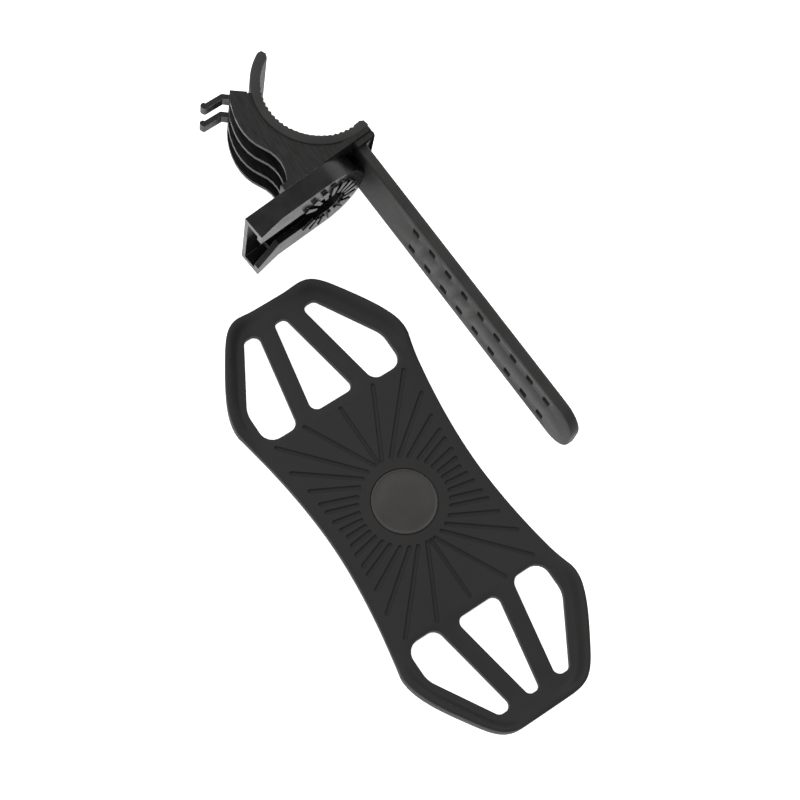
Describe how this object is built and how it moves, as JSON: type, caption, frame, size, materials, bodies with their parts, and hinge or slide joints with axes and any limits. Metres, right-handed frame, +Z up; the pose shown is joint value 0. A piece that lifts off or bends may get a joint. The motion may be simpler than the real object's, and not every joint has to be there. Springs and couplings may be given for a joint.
{
  "type": "phone handlebar mount",
  "caption": "Strap-on handlebar bracket with a slide-in dock, and a stretch band with a turning foot that holds a phone.",
  "frame": {"origin": "middle of the layout, on the surface that the bracket and the phone band lie on", "axes": "+Y along the phone band's long axis, towards the bracket; +Z up"},
  "size_m": [0.084, 0.2116, 0.029],
  "materials": {
    "saddle_nylon": "satin, fine moulded grain",
    "dock_nylon": "glossy moulded plastic",
    "hook_nylon": "satin",
    "pad_rubber": "matt rubber",
    "strap_rubber": "matt rubber with a soft sheen",
    "band_silicone": "matt silicone",
    "disc_plastic": "dark brownish-black with a bright rim",
    "foot_nylon": "satin",
    "steel": "zinc plated"
  },
  "bodies": {
    "bracket": {"saddle": "saddle_nylon", "dock": "dock_nylon", "rubber_pad": "pad_rubber", "hook_insert": "hook_nylon", "strap_root": "strap_rubber"},
    "strap_1": {"strap_link_1": "strap_rubber"},
    "strap_2": {"strap_link_2": "strap_rubber"},
    "strap_3": {"strap_link_3": "strap_rubber"},
    "strap_4": {"strap_link_4": "strap_rubber"},
    "strap_5": {"strap_link_5": "strap_rubber"},
    "strap_6": {"strap_link_6": "strap_rubber"},
    "strap_7": {"strap_link_7": "strap_rubber"},
    "strap_8": {"strap_tip": "strap_rubber"},
    "phone_band": {"band_middle": "band_silicone", "front_disc": "disc_plastic", "click_collar": "foot_nylon", "foot_screw": "steel", "wave_washer": "steel", "thrust_washer": "steel"},
    "upper_loops": {"band_end_upper": "band_silicone"},
    "lower_loops": {"band_end_lower": "band_silicone"},
    "foot": {"slide_foot": "foot_nylon"}
  },
  "joints": [
    {"name": "strap_bend_1", "type": "hinge", "parent": "bracket", "child": "strap_1", "pos_m": [0.03768, 0.06291, 0.0145], "axis": [0, 0, 1], "range_deg": [0, 48.5], "stiffness_Nm_per_rad": 0.02},
    {"name": "strap_bend_2", "type": "hinge", "parent": "strap_1", "child": "strap_2", "pos_m": [0.03777, 0.06052, 0.0145], "axis": [0, 0, 1], "range_deg": [0, 48.5], "stiffness_Nm_per_rad": 0.02},
    {"name": "strap_bend_3", "type": "hinge", "parent": "strap_2", "child": "strap_3", "pos_m": [0.03787, 0.05812, 0.0145], "axis": [0, 0, 1], "range_deg": [0, 48.5], "stiffness_Nm_per_rad": 0.02},
    {"name": "strap_bend_4", "type": "hinge", "parent": "strap_3", "child": "strap_4", "pos_m": [0.03887, 0.03314, 0.0145], "axis": [0, 0, 1], "range_deg": [0, 24.8], "stiffness_Nm_per_rad": 0.02},
    {"name": "strap_bend_5", "type": "hinge", "parent": "strap_4", "child": "strap_5", "pos_m": [0.03919, 0.0251, 0.0145], "axis": [0, 0, 1], "range_deg": [0, 24.8], "stiffness_Nm_per_rad": 0.02},
    {"name": "strap_bend_6", "type": "hinge", "parent": "strap_5", "child": "strap_6", "pos_m": [0.03952, 0.01705, 0.0145], "axis": [0, 0, 1], "range_deg": [0, 24.8], "stiffness_Nm_per_rad": 0.02},
    {"name": "strap_bend_7", "type": "hinge", "parent": "strap_6", "child": "strap_7", "pos_m": [0.03984, 0.00901, 0.0145], "axis": [0, 0, 1], "range_deg": [0, 24.8], "stiffness_Nm_per_rad": 0.02},
    {"name": "strap_bend_8", "type": "hinge", "parent": "strap_7", "child": "strap_8", "pos_m": [0.04016, 0.00097, 0.0145], "axis": [0, 0, 1], "range_deg": [0, 24.8], "stiffness_Nm_per_rad": 0.02},
    {"name": "band_lift", "type": "slide", "parent": "bracket", "child": "phone_band", "axis": [0, 0, 1], "range_m": [0, 0.08]},
    {"name": "upper_loops_flex", "type": "hinge", "parent": "phone_band", "child": "upper_loops", "pos_m": [-0.01173, 0.0008, 0.01], "axis": [1, 0, 0], "range_deg": [0, 60], "stiffness_Nm_per_rad": 0.03},
    {"name": "lower_loops_flex", "type": "hinge", "parent": "phone_band", "child": "lower_loops", "pos_m": [-0.01173, -0.0652, 0.01], "axis": [-1, 0, 0], "range_deg": [0, 60], "stiffness_Nm_per_rad": 0.03},
    {"name": "foot_turn", "type": "hinge", "parent": "phone_band", "child": "foot", "pos_m": [-0.01173, -0.0322, 0.004], "axis": [0, 0, 1], "continuous": true}
  ]
}
